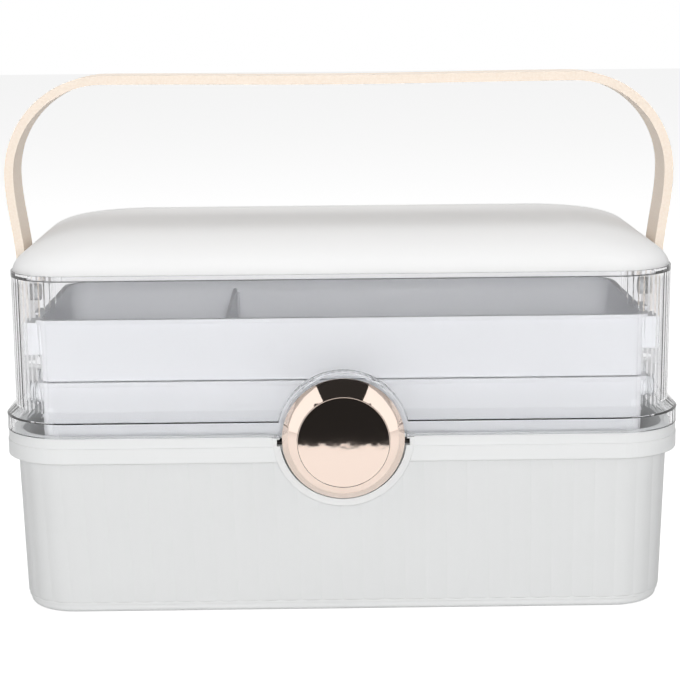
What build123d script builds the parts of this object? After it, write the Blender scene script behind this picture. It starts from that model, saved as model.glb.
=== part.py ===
from build123d import *
from math import cos, radians, sin
import os

os.makedirs("parts", exist_ok=True)

# Storage case with a hinged clear lid, two lift-up trays and a strap handle.
# Millimetres. +X is the case's right, -Y its front (clasp side), +Z up.
# The origin is on the table, in the middle of the footprint.

# Lid wall, and the flange and base rim that stand out from it
lid_width = 320.0
lid_depth = 170.0
lid_corner = 28.0
rim_step = 4.5
wall = 2.2

# Heights above the table
foot_top = 4.2
rim_bottom = 77.0
rim_line = 84.4
seam = 89.3
seam_gap = 0.3
flange_top = 97.0
flange_root = 101.0
shoulder_drop = 0.8
frame_line = 164.0
frame_top = 166.8

# Base tub
tub_top_inset = 0.5
tub_taper = 2.0
foot_inset = 0.8
foot_round = 2.5
rim_groove = 0.4

# Domed lid panel
panel_inset = 1.0
panel_seat = 4.0
panel_skin = 2.8
dome_rise = 17.0
dome_reach = 44.5
dome_steps = 8
ledge = 8.0

# Rear hinge
hinge_x = 100.0
hinge_y = 94.0
hinge_z = 89.5
knuckle_r = 3.8
hinge_pin_r = 1.5
lid_knuckle = 16.0
base_knuckle = 7.0
knuckle_gap = 0.4

# Round clasp on its pin
clasp_z = 89.5
clasp_r = 29.1
clasp_face_r = 22.1
clasp_back_y = -92.8
clasp_edge = 1.4
clasp_crease_y = -101.6
clasp_front_y = -102.2
bevel_bulge = 1.1
clasp_skin = 1.8
recess_r = 30.3
boss_r = 33.8
arch_r = 31.6
boss_front_y = -91.4
clasp_pin_y = -88.0
clasp_pin_z = 87.0
clasp_pin_r = 1.5
clasp_pin_half = 33.2
pin_slot_x = 31.6
pin_slot_half = 1.6
rocker_back_y = -90.2
rocker_half = 28.0
rocker_boss_r = 2.5
rocker_fit = 0.05
catch_bottom = 101.0
catch_height = 2.0
catch_width = 16.0
catch_reach = 2.0
hook_nose_y = -87.6
hook_bottom = 103.8
hook_width = 14.0

# Trays: outline at the lip, then what lies inside it
tray_width = 295.0
tray_depth = 118.0
tray_y = -14.0
tray_rear_corner = 16.0
tray_front_corner = 7.0
tray_lip = 1.0
tray_lip_height = 2.0
tray_wall = 1.8
tray_draft = 1.2
tray_height = 30.3
lower_rim = 113.3
upper_rim = 144.0
divider_x = -56.5
divider_thick = 1.6
divider_drop = 4.2
rib = 1.2
rib_length = 2.7
rib_inset = 4.05

# Links: each bar runs from its rear pivot forwards and up by the same step
link_forward = 62.5
link_up = 26.0
link_half = 4.5
link_thick = 2.4
link_x = 148.8
pivot_pin_r = 2.0
turning_clearance = 0.08
open_clearance = 0.3
boss_gap = 0.4
head_gap = 0.2
lower_front_pivot = (-60.0, 106.5)
lower_rear_pivot = (-32.0, 106.5)
upper_front_pivot = (-60.0, 134.0)
upper_rear_pivot = (-32.0, 134.0)
pivot_boss_r = 5.0
pin_head_r = 4.0
pivot_cap_r = 5.5
head_thick = 1.0
pin_seat_x = 146.2
boss_root_x = 145.2

# Lugs on the upper tray, round the front ends of its links
lug_half = 6.8
lug_bottom = 126.3
lug_outer_x = 152.4
lug_skin = 1.2

# Strap handle
strap_width = 26.0
strap_thick = 4.5
strap_gap = 0.3
strap_half_span = 169.3
strap_corner_r = 50.5
strap_corner_z = 206.5
strap_middle_z = 257.0
strap_wave = 0.9
strap_tip = 123.0
strap_straight = 160.0
lean_pull = 16.0
rivet_z = 146.0
rivet_r = 2.4
rivet_head_r = 5.5
rivet_head_thick = 1.6
rivet_cap_r = 4.3
rivet_cap_thick = 3.0

SIDES = {"left": -1, "right": 1}

half_width = lid_width / 2
half_depth = lid_depth / 2
rim_width = lid_width + 2 * rim_step
rim_depth = lid_depth + 2 * rim_step
rim_corner = lid_corner + rim_step
lid_bottom = seam + seam_gap
flange_back_y = half_depth + rim_step - wall + 0.1
link_outer_x = link_x + link_thick


def behind(pivot):
    """The rear end of the link whose front end is at pivot."""
    return (pivot[0] + link_forward, pivot[1] - link_up)


def across(side, inner):
    """A YZ plane at inner from the middle of the case, on the given side."""
    return Plane.YZ.offset(side * inner)


# ---------------------------------------------------------------- base tub
tub_width = lid_width - 2 * tub_top_inset
tub_depth = lid_depth - 2 * tub_top_inset
tub_foot_width = tub_width - 2 * tub_taper
tub_foot_depth = tub_depth - 2 * tub_taper
tub_foot_corner = lid_corner - tub_taper
ear_offset = lid_knuckle / 2 + knuckle_gap + base_knuckle / 2
base_boss_x = link_outer_x + boss_gap
base_boss_end = half_width - 1.5
cut_margin = 1.0

with BuildPart() as base_tub:
    # foot band, set in a little under the wall
    with BuildSketch(Plane.XY):
        RectangleRounded(
            tub_foot_width - 2 * foot_inset, tub_foot_depth - 2 * foot_inset, tub_foot_corner - foot_inset
        )
    extrude(amount=foot_top)
    fillet(base_tub.faces().sort_by(Axis.Z)[0].edges(), foot_round)
    # tapered wall
    with BuildSketch(Plane.XY.offset(foot_top)):
        RectangleRounded(tub_foot_width, tub_foot_depth, tub_foot_corner)
    with BuildSketch(Plane.XY.offset(rim_bottom)):
        RectangleRounded(tub_width, tub_depth, lid_corner)
    loft()
    # rim in two bands, the upper one a groove narrower
    with BuildSketch(Plane.XY.offset(rim_bottom)):
        RectangleRounded(rim_width, rim_depth, rim_corner)
    extrude(amount=rim_line - rim_bottom)
    with BuildSketch(Plane.XY.offset(rim_line)):
        RectangleRounded(rim_width - 2 * rim_groove, rim_depth - 2 * rim_groove, rim_corner - rim_groove)
    extrude(amount=seam - rim_line)
    # half-round boss under the clasp
    with BuildSketch(Plane.XZ.offset(-boss_front_y)):
        with Locations((0, clasp_z)):
            Circle(boss_r)
        with Locations((0, seam + boss_r)):
            Rectangle(3 * boss_r, 2 * boss_r, mode=Mode.SUBTRACT)
    extrude(amount=boss_front_y + half_depth - tub_taper)
    # storage well
    with BuildSketch(Plane.XY.offset(wall + 0.6)):
        RectangleRounded(tub_foot_width - 2 * wall, tub_foot_depth - 2 * wall, tub_foot_corner - wall)
    with BuildSketch(Plane.XY.offset(seam)):
        RectangleRounded(tub_width - 2 * wall, tub_depth - 2 * wall, lid_corner - wall)
    loft(mode=Mode.SUBTRACT)
    # recess that the clasp rocks in
    with BuildSketch(Plane.XZ.offset(cut_margin - boss_front_y)):
        with Locations((0, clasp_z)):
            Circle(recess_r)
    extrude(amount=boss_front_y - cut_margin + half_depth, mode=Mode.SUBTRACT)
    # bore for the clasp pin, and a slot that leaves the pin bare beside the clasp
    with BuildSketch(Plane.YZ.offset(-clasp_pin_half)):
        with Locations((clasp_pin_y, clasp_pin_z)):
            Circle(clasp_pin_r)
    extrude(amount=2 * clasp_pin_half, mode=Mode.SUBTRACT)
    with BuildSketch(Plane.XZ.offset(cut_margin - boss_front_y)):
        with Locations((0, clasp_pin_z)):
            Rectangle(2 * pin_slot_x, 2 * pin_slot_half)
    extrude(amount=boss_front_y - cut_margin - clasp_pin_y, mode=Mode.SUBTRACT)
    for side in SIDES.values():
        # bosses inside the side wall, for the lower links
        for pivot in (lower_front_pivot, lower_rear_pivot):
            with BuildSketch(across(side, base_boss_x)):
                with Locations(behind(pivot)):
                    Circle(pivot_boss_r)
            extrude(amount=side * (base_boss_end - base_boss_x))
            with BuildSketch(across(side, base_boss_x)):
                with Locations(behind(pivot)):
                    Circle(pivot_pin_r)
            extrude(amount=side * (base_boss_end - base_boss_x), mode=Mode.SUBTRACT)
    # hinge ears, one each side of either lid knuckle
    for middle_x in (-hinge_x, hinge_x):
        for offset_x in (-ear_offset, ear_offset):
            with BuildSketch(Plane.YZ.offset(middle_x + offset_x - base_knuckle / 2)):
                with BuildLine():
                    Polyline(
                        (half_depth + 2.0, seam - 10.0),
                        (half_depth + 2.0, seam - 0.6),
                        (hinge_y, seam - 0.6),
                        (hinge_y + knuckle_r - 0.6, hinge_z - 2.4),
                        (half_depth + rim_step, seam - 10.0),
                        close=True,
                    )
                make_face()
                with Locations((hinge_y, hinge_z)):
                    Circle(knuckle_r)
                    Circle(hinge_pin_r, mode=Mode.SUBTRACT)
            extrude(amount=base_knuckle)
base_tub.part.label = "base_tub"
export_step(base_tub.part, "parts/base_tub.step")

hinge_pin_length = lid_knuckle + 2 * (knuckle_gap + base_knuckle)
for name, side in SIDES.items():
    with BuildPart() as hinge_pin:
        with BuildSketch(Plane.YZ.offset(side * hinge_x - hinge_pin_length / 2)):
            with Locations((hinge_y, hinge_z)):
                Circle(hinge_pin_r)
        extrude(amount=hinge_pin_length)
    hinge_pin.part.label = f"hinge_pin_{name}"
    export_step(hinge_pin.part, f"parts/hinge_pin_{name}.step")

with BuildPart() as clasp_pin:
    with BuildSketch(Plane.YZ.offset(-clasp_pin_half)):
        with Locations((clasp_pin_y, clasp_pin_z)):
            Circle(clasp_pin_r)
    extrude(amount=2 * clasp_pin_half)
clasp_pin.part.label = "clasp_pin"
export_step(clasp_pin.part, "parts/clasp_pin.step")

base_pin_head_x = link_x - head_gap
with BuildPart() as base_link_pins:
    for side in SIDES.values():
        for pivot in (lower_front_pivot, lower_rear_pivot):
            with BuildSketch(across(side, base_pin_head_x - head_thick)):
                with Locations(behind(pivot)):
                    Circle(pin_head_r)
            extrude(amount=side * head_thick)
            with BuildSketch(across(side, base_pin_head_x)):
                with Locations(behind(pivot)):
                    Circle(pivot_pin_r)
            extrude(amount=side * (base_boss_end - base_pin_head_x))
base_link_pins.part.label = "base_link_pins"
export_step(base_link_pins.part, "parts/base_link_pins.step")

# ---------------------------------------------------------------- clear lid
with BuildPart() as lid_shell:
    # flange, sloping shoulder and wall
    with BuildSketch(Plane.XY.offset(lid_bottom)):
        RectangleRounded(rim_width, rim_depth, rim_corner)
    extrude(amount=flange_top - lid_bottom)
    with BuildSketch(Plane.XY.offset(flange_top)):
        RectangleRounded(rim_width, rim_depth, rim_corner)
    with BuildSketch(Plane.XY.offset(flange_root)):
        RectangleRounded(lid_width, lid_depth, lid_corner)
    loft()
    with BuildSketch(Plane.XY.offset(flange_root)):
        RectangleRounded(lid_width, lid_depth, lid_corner)
    extrude(amount=frame_top - flange_root)
    # hollow inside flange, shoulder and wall, then the opening that the panel covers
    with BuildSketch(Plane.XY.offset(lid_bottom)):
        RectangleRounded(rim_width - 2 * wall, rim_depth - 2 * wall, rim_corner - wall)
    extrude(amount=flange_top - shoulder_drop - lid_bottom, mode=Mode.SUBTRACT)
    with BuildSketch(Plane.XY.offset(flange_top - shoulder_drop)):
        RectangleRounded(rim_width - 2 * wall, rim_depth - 2 * wall, rim_corner - wall)
    with BuildSketch(Plane.XY.offset(flange_root - shoulder_drop)):
        RectangleRounded(lid_width - 2 * wall, lid_depth - 2 * wall, lid_corner - wall)
    loft(mode=Mode.SUBTRACT)
    with BuildSketch(Plane.XY.offset(flange_root - shoulder_drop)):
        RectangleRounded(lid_width - 2 * wall, lid_depth - 2 * wall, lid_corner - wall)
    extrude(amount=frame_line - flange_root + shoulder_drop, mode=Mode.SUBTRACT)
    with BuildSketch(Plane.XY.offset(frame_line)):
        RectangleRounded(lid_width - 2 * ledge, lid_depth - 2 * ledge, lid_corner - ledge)
    extrude(amount=frame_top - frame_line, mode=Mode.SUBTRACT)
    # arch round the upper half of the clasp, and the recess inside it
    with BuildSketch(Plane.XZ.offset(-boss_front_y)):
        with Locations((0, clasp_z)):
            Circle(arch_r)
        with Locations((0, lid_bottom - arch_r)):
            Rectangle(3 * arch_r, 2 * arch_r, mode=Mode.SUBTRACT)
    extrude(amount=boss_front_y + half_depth - wall)
    with BuildSketch(Plane.XZ.offset(cut_margin - boss_front_y)):
        with Locations((0, clasp_z)):
            Circle(recess_r)
    extrude(amount=boss_front_y - cut_margin + half_depth, mode=Mode.SUBTRACT)
    # catch in front of which the clasp's hook stands
    with BuildSketch(Plane.XY.offset(catch_bottom)):
        with Locations((0, -half_depth - catch_reach / 2 + wall / 4)):
            Rectangle(catch_width, catch_reach + wall / 2)
    extrude(amount=catch_height)
    for side in SIDES.values():
        # hinge knuckle on its arm
        with BuildSketch(Plane.YZ.offset(side * hinge_x - lid_knuckle / 2)):
            with BuildLine():
                Polyline(
                    (flange_back_y, lid_bottom + 0.4),
                    (flange_back_y, flange_top - 0.6),
                    (hinge_y - 1.0, hinge_z + knuckle_r - 0.2),
                    (hinge_y, lid_bottom + 0.4),
                    close=True,
                )
            make_face()
            with Locations((hinge_y, hinge_z)):
                Circle(knuckle_r)
                Circle(hinge_pin_r + turning_clearance, mode=Mode.SUBTRACT)
        extrude(amount=lid_knuckle)
        # rivet hole in the side wall
        with BuildSketch(across(side, half_width - wall - cut_margin)):
            with Locations((0, rivet_z)):
                Circle(rivet_r)
        extrude(amount=side * (wall + 2 * cut_margin), mode=Mode.SUBTRACT)
lid_shell.part.label = "lid_shell"
export_step(lid_shell.part, "parts/lid_shell.step")

# Domed panel: a quarter ellipse from its edge up to a level crown, hollow below
panel_width = lid_width - 2 * panel_inset
panel_depth = lid_depth - 2 * panel_inset
panel_corner = lid_corner - panel_inset

with BuildPart() as lid_top_panel:
    for step in range(dome_steps + 1):
        turn = radians(90 * step / dome_steps)
        reach = dome_reach * (1 - cos(turn))
        with BuildSketch(Plane.XY.offset(frame_top + dome_rise * sin(turn))):
            RectangleRounded(panel_width - 2 * reach, panel_depth - 2 * reach, panel_corner)
    loft(ruled=True)
    for step in range(dome_steps + 1):
        turn = radians(90 * step / dome_steps)
        reach = panel_seat + (dome_reach - panel_seat) * (1 - cos(turn))
        with BuildSketch(Plane.XY.offset(frame_top + (dome_rise - panel_skin) * sin(turn))):
            RectangleRounded(panel_width - 2 * reach, panel_depth - 2 * reach, panel_corner - panel_seat)
    loft(ruled=True, mode=Mode.SUBTRACT)
lid_top_panel.part.label = "lid_top_panel"
export_step(lid_top_panel.part, "parts/lid_top_panel.step")

# ---------------------------------------------------------------- handle
strap_inner_x = half_width + strap_gap
strap_outer_x = strap_inner_x + strap_thick
arc_x = strap_half_span - strap_corner_r
arc_top = strap_corner_z + strap_corner_r

with BuildPart() as handle_strap:
    with BuildSketch(Plane.XZ.offset(-strap_width / 2)):
        with BuildLine():
            # outer face, from the tip up to the middle of the top
            Line((strap_outer_x, strap_tip), (strap_outer_x, strap_straight))
            Bezier(
                (strap_outer_x, strap_straight),
                (strap_outer_x, strap_straight + lean_pull),
                (strap_half_span, strap_corner_z - lean_pull),
                (strap_half_span, strap_corner_z),
            )
            CenterArc((arc_x, strap_corner_z), strap_corner_r, 0, 90)
            Bezier(
                (arc_x, arc_top),
                (arc_x * 2 / 3, arc_top),
                (arc_x / 3, strap_middle_z - strap_wave),
                (0, strap_middle_z - strap_wave),
            )
            # inner face, one strap thickness inside, back down to the tip
            Line((0, strap_middle_z - strap_wave), (0, strap_middle_z - strap_wave - strap_thick))
            Bezier(
                (0, strap_middle_z - strap_wave - strap_thick),
                (arc_x / 3, strap_middle_z - strap_wave - strap_thick),
                (arc_x * 2 / 3, arc_top - strap_thick),
                (arc_x, arc_top - strap_thick),
            )
            CenterArc((arc_x, strap_corner_z), strap_corner_r - strap_thick, 0, 90)
            Bezier(
                (strap_half_span - strap_thick, strap_corner_z),
                (strap_half_span - strap_thick, strap_corner_z - lean_pull),
                (strap_inner_x, strap_straight + lean_pull),
                (strap_inner_x, strap_straight),
            )
            Line((strap_inner_x, strap_straight), (strap_inner_x, strap_tip))
            Line((strap_inner_x, strap_tip), (strap_outer_x, strap_tip))
        make_face()
    extrude(amount=strap_width)
    mirror(about=Plane.YZ)
    fillet(handle_strap.edges().filter_by(Axis.X).group_by(Axis.Z)[0], strap_width / 2 - 0.2)
    for side in SIDES.values():
        with BuildSketch(across(side, strap_inner_x - cut_margin)):
            with Locations((0, rivet_z)):
                Circle(rivet_r + turning_clearance)
        extrude(amount=side * (strap_thick + 2 * cut_margin), mode=Mode.SUBTRACT)
handle_strap.part.label = "handle_strap"
export_step(handle_strap.part, "parts/handle_strap.step")

# A headed rivet holds each strap end, with a cap pressed on inside the lid
rivet_head_x = strap_outer_x + strap_gap
rivet_cap_x = half_width - wall - rivet_cap_thick
for name, side in SIDES.items():
    with BuildPart() as handle_rivet:
        with BuildSketch(across(side, rivet_cap_x)):
            with Locations((0, rivet_z)):
                Circle(rivet_r)
        extrude(amount=side * (rivet_head_x - rivet_cap_x))
        with BuildSketch(across(side, rivet_head_x)):
            with Locations((0, rivet_z)):
                Circle(rivet_head_r)
        extrude(amount=side * rivet_head_thick)
        head_face = handle_rivet.faces().sort_by(Axis.X)[-1 if side > 0 else 0]
        fillet(head_face.edges(), rivet_head_thick * 0.7)
    handle_rivet.part.label = f"handle_rivet_{name}"
    export_step(handle_rivet.part, f"parts/handle_rivet_{name}.step")

    with BuildPart() as rivet_cap:
        with BuildSketch(across(side, rivet_cap_x)):
            with Locations((0, rivet_z)):
                Circle(rivet_cap_r)
                Circle(rivet_r, mode=Mode.SUBTRACT)
        extrude(amount=side * rivet_cap_thick)
    rivet_cap.part.label = f"rivet_cap_{name}"
    export_step(rivet_cap.part, f"parts/rivet_cap_{name}.step")

# ---------------------------------------------------------------- clasp
rocker_r = clasp_r - clasp_skin
bevel_start_y = clasp_back_y - clasp_edge
bevel_middle_r = (clasp_r + clasp_face_r) / 2
bevel_middle_y = (bevel_start_y + clasp_crease_y) / 2

with BuildPart() as clasp_cap:
    # half section on the axis: radius along X, depth along Y
    with BuildSketch(Plane.XY.offset(clasp_z)):
        with BuildLine():
            Line((clasp_r, clasp_back_y), (clasp_r, bevel_start_y))
            # bevel, a little convex, up to a crisp crease; then the slightly domed face
            Bezier(
                (clasp_r, bevel_start_y),
                (bevel_middle_r + bevel_bulge, bevel_middle_y - bevel_bulge),
                (clasp_face_r, clasp_crease_y),
            )
            Bezier(
                (clasp_face_r, clasp_crease_y),
                (clasp_face_r / 2, clasp_front_y),
                (0, clasp_front_y),
            )
            Line((0, clasp_front_y), (0, clasp_front_y + clasp_skin))
            Line((0, clasp_front_y + clasp_skin), (clasp_face_r, clasp_crease_y + clasp_skin))
            Line((clasp_face_r, clasp_crease_y + clasp_skin), (rocker_r, bevel_start_y))
            Line((rocker_r, bevel_start_y), (rocker_r, clasp_back_y))
            Line((rocker_r, clasp_back_y), (clasp_r, clasp_back_y))
        make_face()
    revolve(axis=Axis((0, 0, clasp_z), (0, 1, 0)))
clasp_cap.part.label = "clasp_cap"
export_step(clasp_cap.part, "parts/clasp_cap.step")

with BuildPart() as clasp_rocker:
    # plate inside the cap, with a smaller one behind it
    with BuildSketch(Plane.XZ.offset(-rocker_back_y)):
        with Locations((0, clasp_z)):
            Circle(rocker_r - 1.0)
    extrude(amount=rocker_back_y - clasp_back_y)
    with BuildSketch(Plane.XZ.offset(-clasp_back_y)):
        with Locations((0, clasp_z)):
            Circle(rocker_r - rocker_fit)
    extrude(amount=clasp_edge)
    # boss along the pin
    with BuildSketch(Plane.YZ.offset(-rocker_half)):
        with Locations((clasp_pin_y, clasp_pin_z)):
            Circle(rocker_boss_r)
    extrude(amount=2 * rocker_half)
    # hook above the catch
    with BuildSketch(Plane.XY.offset(hook_bottom)):
        with Locations((0, (rocker_back_y + hook_nose_y) / 2)):
            Rectangle(hook_width, hook_nose_y - rocker_back_y)
    extrude(amount=catch_height)
    with BuildSketch(Plane.YZ.offset(-rocker_half)):
        with Locations((clasp_pin_y, clasp_pin_z)):
            Circle(clasp_pin_r + turning_clearance)
    extrude(amount=2 * rocker_half, mode=Mode.SUBTRACT)
clasp_rocker.part.label = "clasp_rocker"
export_step(clasp_rocker.part, "parts/clasp_rocker.step")


# ---------------------------------------------------------------- trays
def tray_level(level, inset):
    """Draw one level of a tray in the sketch level, set in from the lip all round."""
    with Locations((0, tray_y)):
        Rectangle(tray_width - 2 * inset, tray_depth - 2 * inset)
    fillet(level.vertices().group_by(Axis.Y)[-1], tray_rear_corner - inset)
    fillet(level.vertices().group_by(Axis.Y)[0], tray_front_corner - inset)


inner_inset = tray_lip + tray_wall
divider_floor = upper_rim - tray_height + tray_wall
for name, rim in (("lower_tray", lower_rim), ("upper_tray", upper_rim)):
    bottom = rim - tray_height
    with BuildPart() as tray:
        # drafted body under a lip
        with BuildSketch(Plane.XY.offset(bottom)) as level:
            tray_level(level, tray_lip + tray_draft)
        with BuildSketch(Plane.XY.offset(rim)) as level:
            tray_level(level, tray_lip)
        loft()
        with BuildSketch(Plane.XY.offset(rim - tray_lip_height)) as level:
            tray_level(level, 0)
        extrude(amount=tray_lip_height)
        with BuildSketch(Plane.XY.offset(bottom + tray_wall)) as level:
            tray_level(level, inner_inset + tray_draft)
        with BuildSketch(Plane.XY.offset(rim)) as level:
            tray_level(level, inner_inset)
        loft(mode=Mode.SUBTRACT)
        for side in SIDES.values():
            if name == "lower_tray":
                # bosses for the lower links' front ends and the upper links' rear ends
                places = [lower_front_pivot, lower_rear_pivot]
                places += [behind(upper_front_pivot), behind(upper_rear_pivot)]
                for place in places:
                    with BuildSketch(across(side, boss_root_x)):
                        with Locations(place):
                            Circle(pivot_boss_r)
                    extrude(amount=side * (link_x - boss_gap - boss_root_x))
                    with BuildSketch(across(side, pin_seat_x)):
                        with Locations(place):
                            Circle(pivot_pin_r)
                    extrude(amount=side * (link_x - pin_seat_x), mode=Mode.SUBTRACT)
            else:
                # lugs open below and behind; the rear one is open in front as well
                for pivot, front_skin in ((upper_front_pivot, lug_skin), (upper_rear_pivot, 0.0)):
                    lug_top = rim - tray_lip_height
                    lug_middle = (lug_top + lug_bottom) / 2
                    slot_inner = link_x - head_gap
                    slot_outer = lug_outer_x - lug_skin + head_gap
                    with BuildSketch(across(side, boss_root_x)):
                        with Locations((pivot[0], lug_middle)):
                            Rectangle(2 * lug_half, lug_top - lug_bottom)
                    extrude(amount=side * (lug_outer_x - boss_root_x))
                    with BuildSketch(across(side, slot_inner)):
                        with Locations((pivot[0] + front_skin / 2, lug_middle - lug_skin / 2)):
                            Rectangle(2 * lug_half - front_skin, lug_top - lug_bottom - lug_skin)
                    extrude(amount=side * (slot_outer - slot_inner), mode=Mode.SUBTRACT)
                    with BuildSketch(across(side, pin_seat_x)):
                        with Locations(pivot):
                            Circle(pivot_pin_r)
                    extrude(amount=side * (lug_outer_x - pin_seat_x), mode=Mode.SUBTRACT)
        if name == "upper_tray":
            # guide ribs that hold the divider's two ends
            for end_y in (tray_y - tray_depth / 2 + rib_inset, tray_y + tray_depth / 2 - rib_inset):
                for side in SIDES.values():
                    rib_x = divider_x + side * (divider_thick / 2 + head_gap + rib / 2)
                    with BuildSketch(Plane.XY.offset(divider_floor - 0.5)):
                        with Locations((rib_x, end_y)):
                            Rectangle(rib, rib_length)
                    extrude(amount=tray_height - tray_wall - 6.0)
    tray.part.label = name
    export_step(tray.part, f"parts/{name}.step")

divider_low_half = tray_depth / 2 - inner_inset - tray_draft - head_gap
divider_lean = tray_draft * divider_drop / (tray_height - tray_wall)
divider_high_half = tray_depth / 2 - inner_inset - divider_lean - head_gap
with BuildPart() as upper_divider:
    with BuildSketch(Plane.YZ.offset(divider_x - divider_thick / 2)):
        with BuildLine():
            Polyline(
                (tray_y - divider_low_half, divider_floor),
                (tray_y + divider_low_half, divider_floor),
                (tray_y + divider_high_half, upper_rim - divider_drop),
                (tray_y - divider_high_half, upper_rim - divider_drop),
                close=True,
            )
        make_face()
    extrude(amount=divider_thick)
upper_divider.part.label = "upper_divider"
export_step(upper_divider.part, "parts/upper_divider.step")

# Pins of the trays: a shank from the seat out to the head, and the head
upper_rear_ends = (behind(upper_front_pivot), behind(upper_rear_pivot))
pin_sets = (
    ("lower_link_caps", (lower_front_pivot, lower_rear_pivot), link_outer_x + head_gap, pivot_cap_r),
    ("upper_link_pins", upper_rear_ends, link_outer_x + head_gap, pin_head_r),
    ("upper_pivot_pins", (upper_front_pivot, upper_rear_pivot), lug_outer_x, pin_head_r),
)
for name, places, head_x, head_r in pin_sets:
    with BuildPart() as pins:
        for side in SIDES.values():
            for place in places:
                with BuildSketch(across(side, pin_seat_x)):
                    with Locations(place):
                        Circle(pivot_pin_r)
                extrude(amount=side * (head_x - pin_seat_x))
                with BuildSketch(across(side, head_x)):
                    with Locations(place):
                        Circle(head_r)
                extrude(amount=side * head_thick)
    pins.part.label = name
    export_step(pins.part, f"parts/{name}.step")

# ---------------------------------------------------------------- links
link_places = (
    ("lower_front_link", lower_front_pivot, turning_clearance),
    ("lower_rear_link", lower_rear_pivot, open_clearance),
    ("upper_front_link", upper_front_pivot, turning_clearance),
    ("upper_rear_link", upper_rear_pivot, open_clearance),
)
for link_name, pivot, front_clearance in link_places:
    rear = behind(pivot)
    middle = ((pivot[0] + rear[0]) / 2, (pivot[1] + rear[1]) / 2)
    for name, side in SIDES.items():
        with BuildPart() as link:
            with BuildSketch(across(side, link_x)):
                SlotCenterPoint(middle, pivot, 2 * link_half)
                with Locations(pivot):
                    Circle(pivot_pin_r + front_clearance, mode=Mode.SUBTRACT)
                with Locations(rear):
                    Circle(pivot_pin_r + turning_clearance, mode=Mode.SUBTRACT)
            extrude(amount=side * link_thick)
        link.part.label = f"{link_name}_{name}"
        export_step(link.part, f"parts/{link_name}_{name}.step")
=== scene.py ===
"""Storage case with a clear hinged lid, two lift-up trays and a strap handle.

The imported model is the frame. Shapes are numpy surfaces in metres, in its axes.
"""

import bpy
import numpy as np
from mathutils import Matrix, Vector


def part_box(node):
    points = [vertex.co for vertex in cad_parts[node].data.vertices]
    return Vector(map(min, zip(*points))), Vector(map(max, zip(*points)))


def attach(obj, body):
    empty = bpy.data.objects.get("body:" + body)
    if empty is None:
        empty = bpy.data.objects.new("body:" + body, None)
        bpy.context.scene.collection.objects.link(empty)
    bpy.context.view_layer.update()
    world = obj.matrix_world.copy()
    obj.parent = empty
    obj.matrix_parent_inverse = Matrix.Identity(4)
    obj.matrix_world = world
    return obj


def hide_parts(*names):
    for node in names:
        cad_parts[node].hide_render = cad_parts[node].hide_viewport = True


bl_info = {
    "name": "Storage case with lift-up trays",
    "version": (1, 0, 0),
    "blender": (4, 5, 0),
    "location": "3D View > Sidebar > Storage case",
    "description": "Builds the visible pieces and the stage of a storage case",
    "category": "Add Mesh",
}

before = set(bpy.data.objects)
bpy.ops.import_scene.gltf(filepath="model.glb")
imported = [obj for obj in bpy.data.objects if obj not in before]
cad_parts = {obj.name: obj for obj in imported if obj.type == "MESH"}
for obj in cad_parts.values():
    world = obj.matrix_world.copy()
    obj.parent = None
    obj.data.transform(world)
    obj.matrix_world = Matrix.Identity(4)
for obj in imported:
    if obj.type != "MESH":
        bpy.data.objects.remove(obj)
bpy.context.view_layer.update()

MM = 0.001


# ---------------------------------------------------------------- colours and nodes
def linear(hex_code):
    """sRGB hex to linear colour: c/12.92 below 0.04045, else ((c+0.055)/1.055)^2.4."""
    code = hex_code.lstrip("#")
    srgb = np.array([int(code[i : i + 2], 16) for i in (0, 2, 4)]) / 255.0
    low = srgb / 12.92
    high = ((srgb + 0.055) / 1.055) ** 2.4
    return (*np.where(srgb <= 0.04045, low, high).tolist(), 1.0)


def add_node(tree, kind, settings=(), inputs=(), links=()):
    """Add a node with its settings and input values, and link (input, source socket) pairs."""
    node = tree.nodes.new(kind)
    for name, value in dict(settings).items():
        setattr(node, name, value)
    for name, value in dict(inputs).items():
        node.inputs[name].default_value = value
    for name, source in links:
        tree.links.new(source, node.inputs[name])
    return node


def new_material(name):
    """A material with an empty tree, its shader and its output."""
    material = bpy.data.materials.new(name)
    material.use_nodes = True
    tree = material.node_tree
    tree.nodes.clear()
    shader = add_node(tree, "ShaderNodeBsdfPrincipled")
    output = add_node(tree, "ShaderNodeOutputMaterial")
    tree.links.new(shader.outputs["BSDF"], output.inputs["Surface"])
    return material, tree, shader, output


def moulded_plastic(name, colour, roughness, texture_mm, tint=0.015, shine=0.5):
    """Injection-moulded plastic: fine mould texture, faint unevenness of tone, soft edges."""
    material, tree, shader, _ = new_material(name)
    place = add_node(tree, "ShaderNodeTexCoord")
    cloud = add_node(
        tree, "ShaderNodeTexNoise", inputs={"Scale": 1 / (60 * MM), "Detail": 2.0},
        links=[("Vector", place.outputs["Object"])],
    )
    base = np.array(linear(colour))
    low = (*(base[:3] * (1 - tint)).tolist(), 1.0)
    mix = add_node(
        tree, "ShaderNodeMix", {"data_type": "RGBA"},
        links=[("Factor", cloud.outputs["Fac"])],
    )
    mix.inputs[6].default_value = tuple(base.tolist())
    mix.inputs[7].default_value = low
    tree.links.new(mix.outputs[2], shader.inputs["Base Color"])
    grain = add_node(
        tree, "ShaderNodeTexNoise", inputs={"Scale": 1 / (texture_mm * MM), "Detail": 3.0},
        links=[("Vector", place.outputs["Object"])],
    )
    # the mould's small edge radius catches a thin line of light
    edge = add_node(tree, "ShaderNodeBevel", {"samples": 4}, {"Radius": 0.45 * MM})
    bump = add_node(
        tree, "ShaderNodeBump", inputs={"Strength": 0.06, "Distance": 0.05 * MM},
        links=[("Height", grain.outputs["Fac"]), ("Normal", edge.outputs["Normal"])],
    )
    tree.links.new(bump.outputs["Normal"], shader.inputs["Normal"])
    shader.inputs["Roughness"].default_value = roughness
    shader.inputs["IOR"].default_value = 1.49
    shader.inputs["Specular IOR Level"].default_value = shine
    return material


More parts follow.
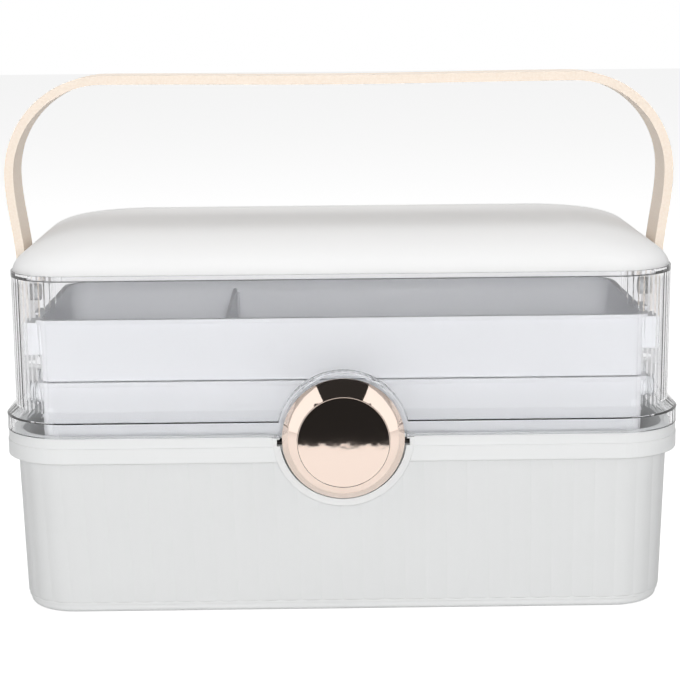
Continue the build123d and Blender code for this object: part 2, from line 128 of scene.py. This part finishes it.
def clear_styrene(name):
    """Clear moulded polystyrene: sharp edges show, walls are nearly invisible face on."""
    material, tree, shader, output = new_material(name)
    shader.inputs["Base Color"].default_value = linear("#FEFEFF")
    shader.inputs["Roughness"].default_value = 0.02
    shader.inputs["IOR"].default_value = 1.59
    shader.inputs["Transmission Weight"].default_value = 1.0
    place = add_node(tree, "ShaderNodeTexCoord")
    flow = add_node(
        tree, "ShaderNodeTexNoise", inputs={"Scale": 1 / (45 * MM), "Detail": 1.0},
        links=[("Vector", place.outputs["Object"])],
    )
    bump = add_node(
        tree, "ShaderNodeBump", inputs={"Strength": 0.04, "Distance": 0.2 * MM},
        links=[("Height", flow.outputs["Fac"])],
    )
    tree.links.new(bump.outputs["Normal"], shader.inputs["Normal"])
    # shadow rays pass, so that what is inside isn't darkened by the walls
    path = add_node(tree, "ShaderNodeLightPath")
    through = add_node(tree, "ShaderNodeBsdfTransparent", inputs={"Color": linear("#FCFDFD")})
    switch = add_node(
        tree, "ShaderNodeMixShader",
        links=[("Fac", path.outputs["Is Shadow Ray"])],
    )
    tree.links.new(shader.outputs["BSDF"], switch.inputs[1])
    tree.links.new(through.outputs["BSDF"], switch.inputs[2])
    tree.links.new(switch.outputs["Shader"], output.inputs["Surface"])
    return material


def plated_rose_gold(name):
    """Vacuum-plated plastic: a mirror with the slow waviness of the moulding beneath."""
    material, tree, shader, _ = new_material(name)
    shader.inputs["Base Color"].default_value = linear("#F6E2D5")
    shader.inputs["Metallic"].default_value = 1.0
    shader.inputs["Roughness"].default_value = 0.05
    place = add_node(tree, "ShaderNodeTexCoord")
    waves = add_node(
        tree, "ShaderNodeTexNoise", inputs={"Scale": 1 / (9 * MM), "Detail": 2.0},
        links=[("Vector", place.outputs["Object"])],
    )
    bump = add_node(
        tree, "ShaderNodeBump", inputs={"Strength": 0.12, "Distance": 0.5 * MM},
        links=[("Height", waves.outputs["Fac"])],
    )
    tree.links.new(bump.outputs["Normal"], shader.inputs["Normal"])
    return material


def drawn_steel(name, colour):
    """Drawn steel wire: fine scale along the pin softens its reflections."""
    material, tree, shader, _ = new_material(name)
    shader.inputs["Base Color"].default_value = linear(colour)
    shader.inputs["Metallic"].default_value = 1.0
    shader.inputs["Roughness"].default_value = 0.3
    place = add_node(tree, "ShaderNodeTexCoord")
    lines = add_node(
        tree, "ShaderNodeTexNoise", inputs={"Scale": 1 / (0.4 * MM), "Detail": 2.0},
        links=[("Vector", place.outputs["Object"])],
    )
    bump = add_node(
        tree, "ShaderNodeBump", inputs={"Strength": 0.1, "Distance": 0.02 * MM},
        links=[("Height", lines.outputs["Fac"])],
    )
    tree.links.new(bump.outputs["Normal"], shader.inputs["Normal"])
    return material


def soft_strap(name):
    """Coated strap: matt skin with a fine leather-like pebble and a paler raised grain."""
    material, tree, shader, _ = new_material(name)
    place = add_node(tree, "ShaderNodeTexCoord")
    pebble = add_node(
        tree, "ShaderNodeTexVoronoi", inputs={"Scale": 1 / (1.1 * MM)},
        links=[("Vector", place.outputs["Object"])],
    )
    tone = add_node(
        tree, "ShaderNodeMix", {"data_type": "RGBA"},
        links=[("Factor", pebble.outputs["Distance"])],
    )
    tone.inputs[6].default_value = linear("#FDF0E2")
    tone.inputs[7].default_value = linear("#F8E8D7")
    tree.links.new(tone.outputs[2], shader.inputs["Base Color"])
    bump = add_node(
        tree, "ShaderNodeBump", inputs={"Strength": 0.15, "Distance": 0.08 * MM},
        links=[("Height", pebble.outputs["Distance"])],
    )
    tree.links.new(bump.outputs["Normal"], shader.inputs["Normal"])
    shader.inputs["Roughness"].default_value = 0.55
    return material


# ---------------------------------------------------------------- surfaces
def rounded_rectangle(width, depth, radius, count=240):
    """Closed outline, anticlockwise, in equal steps of the distance run along it.

    The path is four straight sides joined by quarter circles of the given radius.
    Returns the points and their outward normals.
    """
    half = np.array([width / 2 - radius, depth / 2 - radius])
    centres = np.array([[1, -1], [1, 1], [-1, 1], [-1, -1]]) * half
    path, facing = [], []
    for turn in range(4):
        angle = np.radians(np.linspace(-90, 0, 33) + 90 * turn)
        normal = np.stack([np.cos(angle), np.sin(angle)], 1)
        path.append(centres[turn] + radius * normal)
        facing.append(normal)
    path, facing = np.concatenate([*path, path[0][:1]]), np.concatenate([*facing, facing[0][:1]])
    run = np.concatenate([[0], np.cumsum(np.linalg.norm(np.diff(path, axis=0), axis=1))])
    place = np.linspace(0, run[-1], count, endpoint=False)
    points = np.stack([np.interp(place, run, path[:, axis]) for axis in (0, 1)], 1)
    normals = np.stack([np.interp(place, run, facing[:, axis]) for axis in (0, 1)], 1)
    return points, normals / np.linalg.norm(normals, axis=1, keepdims=True)


def grid_mesh(name, points, close_ends=True):
    """Mesh of a (levels, round, 3) grid closed round each level; its ends may be capped."""
    levels, around = points.shape[:2]
    index = np.arange(levels * around).reshape(levels, around)
    low, high = index[:-1], index[1:]
    faces = np.stack([low, np.roll(low, -1, 1), np.roll(high, -1, 1), high], -1).reshape(-1, 4)
    polygons = faces.tolist()
    if close_ends:
        polygons.append(index[0][::-1].tolist())
        polygons.append(index[-1].tolist())
    mesh = bpy.data.meshes.new(name)
    mesh.from_pydata(points.reshape(-1, 3).tolist(), [], polygons)
    mesh.update()
    piece = bpy.data.objects.new(name, mesh)
    bpy.context.scene.collection.objects.link(piece)
    return piece


def dress(piece, material, body, slot, *nodes, smooth_angle=0.6):
    """Give a finished piece its material, its body and the nodes it stands for; the slot is not
    used.
    """
    piece.data.materials.clear()
    piece.data.materials.append(material)
    bpy.context.view_layer.objects.active = piece
    piece.select_set(True)
    bpy.ops.object.shade_smooth_by_angle(angle=smooth_angle)
    piece.select_set(False)
    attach(piece, body)
    if nodes:
        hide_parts(*nodes)
    return piece


def paint_node(name, material):
    """Give a CAD node that stays in view its material."""
    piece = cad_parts[name]
    piece.data.materials.clear()
    piece.data.materials.append(material)


# ---------------------------------------------------------------- sizes and colours
class CaseSettings(bpy.types.PropertyGroup):
    flute_pitch: bpy.props.FloatProperty(
        name="Flute pitch", description="Distance between the flutes of the tub",
        default=10.2 * MM, unit="LENGTH",
    )
    flute_depth: bpy.props.FloatProperty(
        name="Flute depth", description="How far a flute's valley lies inside its ridge",
        default=0.3 * MM, unit="LENGTH",
    )
    tub_colour: bpy.props.StringProperty(
        name="Tub colour", description="Colour of the tub as sRGB hex", default="#EBECEC",
    )
    tray_colour: bpy.props.StringProperty(
        name="Tray colour", description="Colour of the trays as sRGB hex", default="#FBFBFE",
    )
    panel_colour: bpy.props.StringProperty(
        name="Panel colour", description="Colour of the lid panel as sRGB hex", default="#ECECEC",
    )


def settings():
    return bpy.context.scene.storage_case


# ---------------------------------------------------------------- pieces
class CASE_OT_tub(bpy.types.Operator):
    """Base tub and its rim, with a skin of shallow flutes on the wall, which wears a darker copy of
    the plastic as painted shade
    """

    bl_idname = "case.tub"
    bl_label = "Base tub"

    def execute(self, context):
        material = moulded_plastic("polypropylene_moulded_white", settings().tub_colour, 0.42, 0.6)
        paint_node("base_tub", material)
        # painted shade: the wall wears a darker copy of the tub's plastic, so it reads darker than
        # the rim
        wall = moulded_plastic("polypropylene_wall_painted_shade", "#E4E5E5", 0.42, 0.6)
        dress(fluted_skin(), wall, "base", "tub_white", smooth_angle=0.02)
        return {"FINISHED"}


def fluted_skin(proud=0.04 * MM, tuck=0.4 * MM, fade=0.02):
    """Tub wall with round flutes and sharp valleys, running upright all the way round.

    Wall at share s of its height: the outline grown from the foot's size to the top's.
    Offset outwards = proud + depth * abs(sin(pi * flutes * u)), u the share of the way round,
    and at both ends it drops to -tuck, inside the wall, over the share fade of the height.
    """
    # width, depth and corner radius of the wall above its foot band and under its rim
    foot = np.array([315.0, 165.0, 26.0]) * MM
    top = np.array([319.0, 169.0, 28.0]) * MM
    low, high = 4.4 * MM, 76.9 * MM
    way_round = 2 * (foot[0] + foot[1]) - 8 * foot[2] + 2 * np.pi * foot[2]
    flutes = round(way_round / settings().flute_pitch)
    per_flute = 12
    share_round = np.arange(flutes * per_flute) / (flutes * per_flute)
    ridge = settings().flute_depth * np.abs(np.sin(np.pi * flutes * share_round))
    levels = []
    for share in (0.0, fade / 4, fade / 2, fade, 0.5, 1 - fade, 1 - fade / 2, 1 - fade / 4, 1.0):
        width, depth, corner = foot + (top - foot) * share
        outline, normals = rounded_rectangle(width, depth, corner, len(share_round))
        rise = min(1.0, share / fade, (1 - share) / fade)
        rise = rise * rise * (3 - 2 * rise)
        offset = -tuck * (1 - rise) + (proud + ridge) * rise
        height = np.full(len(outline), low + (high - low) * share)
        levels.append(np.column_stack([outline + normals * offset[:, None], height]))
    return grid_mesh("tub_flutes", np.array(levels), close_ends=False)


class CASE_OT_lid(bpy.types.Operator):
    """Clear lid and its domed white panel"""

    bl_idname = "case.lid"
    bl_label = "Lid"

    def execute(self, context):
        paint_node("lid_shell", clear_styrene("polystyrene_moulded_clear"))
        panel = dome_panel()
        colour = settings().panel_colour
        white = moulded_plastic("abs_moulded_white", colour, 0.5, 0.8, shine=0.1)
        dress(panel, white, "lid", "panel_white", "lid_top_panel")
        return {"FINISHED"}


def dome_panel(rings=40, skin=2.8 * MM, seat=4.0 * MM, reach=44.5 * MM, corner=27.0 * MM):
    """Hollow panel: underside from its crown down to the seat, then the outside up again.

    For t from 0 to 90 degrees a level lies rise * sin(t) above the edge and
    reach * (1 - cos(t)) inside it. The underside starts a seat's width further in,
    and its rise is one skin less.
    """
    low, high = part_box("lid_top_panel")
    width, depth, rise = high.x - low.x, high.y - low.y, high.z - low.z
    turn = np.radians(np.linspace(0, 90, rings))
    outer = np.stack([reach * (1 - np.cos(turn)), rise * np.sin(turn)], 1)
    inner = np.stack([seat + (reach - seat) * (1 - np.cos(turn)), (rise - skin) * np.sin(turn)], 1)
    levels = []
    for profile, radius in ((inner[::-1], corner - seat), (outer, corner)):
        for inset, height in profile:
            outline, _ = rounded_rectangle(width - 2 * inset, depth - 2 * inset, radius)
            levels.append(np.column_stack([outline, np.full(len(outline), low.z + height)]))
    return grid_mesh("lid_panel", np.array(levels))


class CASE_OT_trays(bpy.types.Operator):
    """Paint the trays, the divider and the plain fittings"""

    bl_idname = "case.trays"
    bl_label = "Trays and links"

    def execute(self, context):
        tray = moulded_plastic("polypropylene_moulded_tray", settings().tray_colour, 0.4, 0.6)
        fitting = moulded_plastic("polypropylene_moulded_fitting", "#EDEEF0", 0.45, 0.5)
        for name in ("lower_tray", "upper_tray", "upper_divider"):
            paint_node(name, tray)
        plain = [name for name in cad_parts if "link" in name]
        plain += ["upper_pivot_pins", "clasp_rocker", "rivet_cap_left", "rivet_cap_right"]
        for name in plain:
            paint_node(name, fitting)
        return {"FINISHED"}


class CASE_OT_handle(bpy.types.Operator):
    """Paint the strap and its rivets"""

    bl_idname = "case.handle"
    bl_label = "Handle"

    def execute(self, context):
        paint_node("handle_strap", soft_strap("coated_strap_beige"))
        steel = drawn_steel("steel_drawn_bright", "#B8B6B2")
        for kind in ("handle_rivet", "hinge_pin"):
            for side in ("left", "right"):
                paint_node(f"{kind}_{side}", steel)
        return {"FINISHED"}


class CASE_OT_clasp(bpy.types.Operator):
    """Plated clasp disc and the pin it rocks on"""

    bl_idname = "case.clasp"
    bl_label = "Clasp"

    def execute(self, context):
        dress(
            clasp_disc(), plated_rose_gold("abs_plated_rose_gold"),
            "clasp", "rose_gold_plate", "clasp_cap", smooth_angle=0.3,
        )
        # painted shade: the pin gets a darker copy of the steel, standing in for the dark
        # reflections it shows
        paint_node("clasp_pin", drawn_steel("steel_pin_painted_shade", "#4A4846"))
        return {"FINISHED"}


def clasp_disc(around=256, face_r=22.1 * MM, bevel_y=-94.2 * MM, crease_y=-101.6 * MM):
    """Turned disc: edge, slightly convex bevel, a fine bead at the crease, domed face.

    Bevel: straight from edge to crease, bulged by 0.55 mm * sin(pi * s) along its normal.
    Bead: half circle of 0.28 mm. Face: front + (crease - front) * (r / face_r) ** 2.
    """
    low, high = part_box("clasp_cap")
    outer_r, middle_z = (high.x - low.x) / 2, (high.z + low.z) / 2
    front_y, back_y = low.y, high.y
    bulge, bead, ease, tip = 0.55 * MM, 0.28 * MM, 0.4 * MM, 0.01 * MM
    share = np.linspace(0, 1, 25)
    start, end = np.array([outer_r, bevel_y]), np.array([face_r, crease_y])
    lean = start + share[:, None] * (end - start)
    across = np.array([bevel_y - crease_y, face_r - outer_r])
    across = across / np.linalg.norm(across)
    bevel = lean + bulge * np.sin(np.pi * share)[:, None] * across
    turn = np.linspace(0, np.pi, 9)
    ring = np.stack([face_r - bead + bead * np.cos(turn), crease_y - 0.6 * bead * np.sin(turn)], 1)
    radius = np.linspace(face_r - 2 * bead, tip, 40)
    face = np.stack([radius, front_y + (crease_y - front_y) * (radius / face_r) ** 2], 1)
    edge = np.array([[tip, back_y], [outer_r - ease, back_y], [outer_r, back_y - ease]])
    profile = np.concatenate([edge, bevel, ring, face])
    angle = np.linspace(0, 2 * np.pi, around, endpoint=False)
    x = profile[:, :1] * np.cos(angle)
    z = middle_z + profile[:, :1] * np.sin(angle)
    y = np.repeat(profile[:, 1:], around, 1)
    return grid_mesh("clasp_disc", np.stack([x, y, z], -1))


# ---------------------------------------------------------------- stage
class CASE_OT_stage(bpy.types.Operator):
    """Floor, cards, soft lights, world and the photograph's camera"""

    bl_idname = "case.stage"
    bl_label = "Stage"

    def execute(self, context):
        make_floor()
        make_cards()
        make_backdrop()
        make_world()
        make_lights()
        make_camera()
        context.scene.view_settings.view_transform = "Standard"
        return {"FINISHED"}


def flat_card(name, corners, material):
    """A flat stage card through the given corners."""
    mesh = bpy.data.meshes.new(name)
    mesh.from_pydata(corners, [], [(0, 1, 2, 3)])
    mesh.materials.append(material)
    card = bpy.data.objects.new(name, mesh)
    bpy.context.scene.collection.objects.link(card)
    return card


def make_floor():
    """Pale floor, lifted to white for the camera and in mirrors; it keeps the case's shadow."""
    size, height = 6.0, -0.2 * MM
    camera_lift, mirror_lift = 0.8, 0.55
    material, tree, shader, output = new_material("pale_floor")
    shader.inputs["Base Color"].default_value = (0.5, 0.5, 0.5, 1)
    shader.inputs["Roughness"].default_value = 0.9
    path = add_node(tree, "ShaderNodeLightPath")
    mirrored = add_node(
        tree, "ShaderNodeMath", {"operation": "MULTIPLY"},
        links=[(0, path.outputs["Is Glossy Ray"])],
    )
    mirrored.inputs[1].default_value = mirror_lift
    lift = add_node(
        tree, "ShaderNodeMath", {"operation": "MULTIPLY_ADD"},
        links=[(0, path.outputs["Is Camera Ray"]), (2, mirrored.outputs[0])],
    )
    lift.inputs[1].default_value = camera_lift
    glow = add_node(tree, "ShaderNodeEmission", links=[("Strength", lift.outputs[0])])
    both = add_node(tree, "ShaderNodeAddShader")
    tree.links.new(shader.outputs["BSDF"], both.inputs[0])
    tree.links.new(glow.outputs["Emission"], both.inputs[1])
    tree.links.new(both.outputs["Shader"], output.inputs["Surface"])
    corners = [(x * size, y * size, height) for x, y in ((-1, -1), (1, -1), (1, 1), (-1, 1))]
    flat_card("floor", corners, material)


def glow_material(name, strength):
    """Even white light from a card's face."""
    material = bpy.data.materials.new(name)
    material.use_nodes = True
    tree = material.node_tree
    tree.nodes.clear()
    glow = add_node(tree, "ShaderNodeEmission", inputs={"Strength": strength})
    output = add_node(tree, "ShaderNodeOutputMaterial")
    tree.links.new(glow.outputs["Emission"], output.inputs["Surface"])
    return material


def mirror_card(name, corners, material):
    """A card that only mirrors see, so it hides nothing from any side."""
    card = flat_card(name, corners, material)
    for kind in ("camera", "diffuse", "transmission", "shadow", "volume_scatter"):
        setattr(card, f"visible_{kind}", False)


def make_cards():
    """A tall white card at each side and a dark one in front."""
    white = glow_material("white_card", 1.15)
    near, far, low, high = -0.85, 0.9, 0.06, 1.3
    for side, x in (("left", -0.75), ("right", 0.75)):
        corners = [(x, near, low), (x, far, low), (x, far, high), (x, near, high)]
        mirror_card(f"white_card_{side}", corners, white)
    dark = glow_material("dark_card", 0.02)
    half, y, top = 0.5, -0.43, 0.6
    corners = [(-half, y, 0), (half, y, 0), (half, y, top), (-half, y, top)]
    mirror_card("dark_card_front", corners, dark)


def make_backdrop(away=1.0, reach=3.0):
    """White backdrop behind the case."""
    corners = [(-reach, away, 0), (reach, away, 0), (reach, away, reach), (-reach, away, reach)]
    mirror_card("backdrop", corners, glow_material("white_backdrop", 1.0))


def make_world():
    """White to the camera, a dark room to mirrors, plain light to the rest."""
    world = bpy.data.worlds.new("studio")
    bpy.context.scene.world = world
    world.use_nodes = True
    tree = world.node_tree
    tree.nodes.clear()
    path = add_node(tree, "ShaderNodeLightPath")
    light, dark, white = (
        add_node(tree, "ShaderNodeBackground", inputs={"Color": (1, 1, 1, 1), "Strength": strength})
        for strength in (0.22, 0.03, 1.0)
    )
    mirrored = add_node(tree, "ShaderNodeMixShader", links=[("Fac", path.outputs["Is Glossy Ray"])])
    tree.links.new(light.outputs[0], mirrored.inputs[1])
    tree.links.new(dark.outputs[0], mirrored.inputs[2])
    mix = add_node(tree, "ShaderNodeMixShader", links=[("Fac", path.outputs["Is Camera Ray"])])
    tree.links.new(mirrored.outputs[0], mix.inputs[1])
    tree.links.new(white.outputs[0], mix.inputs[2])
    output = add_node(tree, "ShaderNodeOutputWorld")
    tree.links.new(mix.outputs[0], output.inputs["Surface"])


def make_lights():
    """Soft lights in front, high at the sides and above, all turned to the middle."""
    places = (
        ("softbox_front", (0.0, -1.6, 0.44), 0.4, 13.8),
        ("softbox_left", (-1.2, -1.0, 0.9), 0.9, 3.5),
        ("softbox_right", (1.2, -1.0, 0.9), 0.9, 3.1),
        ("softbox_top", (0.0, 0.15, 1.6), 1.2, 11.0),
    )
    for name, place, size, power in places:
        light = bpy.data.lights.new(name, "AREA")
        light.size = size
        light.energy = power
        lamp = bpy.data.objects.new(name, light)
        lamp.visible_glossy = False
        # the lid passes shadow rays, so lamps seen through it would light the trays twice
        lamp.visible_transmission = False
        bpy.context.scene.collection.objects.link(lamp)
        away = np.array(place) - np.array((0.0, 0.0, 0.1))
        away = away / np.linalg.norm(away)
        side = np.cross((0.0, 0.0, 1.0), away)
        side = side / np.linalg.norm(side)
        turned = np.eye(4)
        turned[:3, 0], turned[:3, 1] = side, np.cross(away, side)
        turned[:3, 2], turned[:3, 3] = away, place
        lamp.matrix_world = Matrix(turned.tolist())


def make_camera(pitch=11.15, yaw=0.52, roll=-0.53):
    """Camera fitted to the case's outlines: place, turn and focal length."""
    place = (-8.5 * MM, -900.0 * MM, 296.0 * MM)
    focal_pixels, image_pixels, sensor = 1755.0, 680.0, 36.0
    tip, turn, tilt = np.radians([pitch, yaw, roll])
    ahead = np.array([np.sin(turn) * np.cos(tip), np.cos(turn) * np.cos(tip), -np.sin(tip)])
    right = np.array([np.cos(turn), -np.sin(turn), 0.0])
    up = np.cross(right, ahead)
    right, up = np.cos(tilt) * right + np.sin(tilt) * up, -np.sin(tilt) * right + np.cos(tilt) * up
    data = bpy.data.cameras.new("camera")
    data.sensor_width = sensor
    data.lens = focal_pixels * sensor / image_pixels
    data.clip_start, data.clip_end = 0.01, 20.0
    camera = bpy.data.objects.new("camera", data)
    bpy.context.scene.collection.objects.link(camera)
    pose = np.eye(4)
    pose[:3, 0], pose[:3, 1], pose[:3, 2], pose[:3, 3] = right, up, -ahead, place
    camera.matrix_world = Matrix(pose.tolist())
    bpy.context.scene.camera = camera


# ---------------------------------------------------------------- panel and registration
class CASE_PT_panel(bpy.types.Panel):
    bl_label = "Storage case"
    bl_idname = "CASE_PT_panel"
    bl_space_type = "VIEW_3D"
    bl_region_type = "UI"
    bl_category = "Storage case"

    def draw(self, context):
        case = context.scene.storage_case
        for name in ("flute_pitch", "flute_depth", "tub_colour", "tray_colour", "panel_colour"):
            self.layout.prop(case, name)
        for operator in OPERATORS:
            self.layout.operator(operator.bl_idname)


OPERATORS = (CASE_OT_tub, CASE_OT_lid, CASE_OT_trays, CASE_OT_handle, CASE_OT_clasp, CASE_OT_stage)
CLASSES = (CaseSettings, *OPERATORS, CASE_PT_panel)


def register():
    for item in CLASSES:
        bpy.utils.register_class(item)
    bpy.types.Scene.storage_case = bpy.props.PointerProperty(type=CaseSettings)


def unregister():
    del bpy.types.Scene.storage_case
    for item in reversed(CLASSES):
        bpy.utils.unregister_class(item)


def main():
    register()
    for operator in OPERATORS:
        group, name = operator.bl_idname.split(".")
        getattr(getattr(bpy.ops, group), name)()


if __name__ == "__main__":
    main()
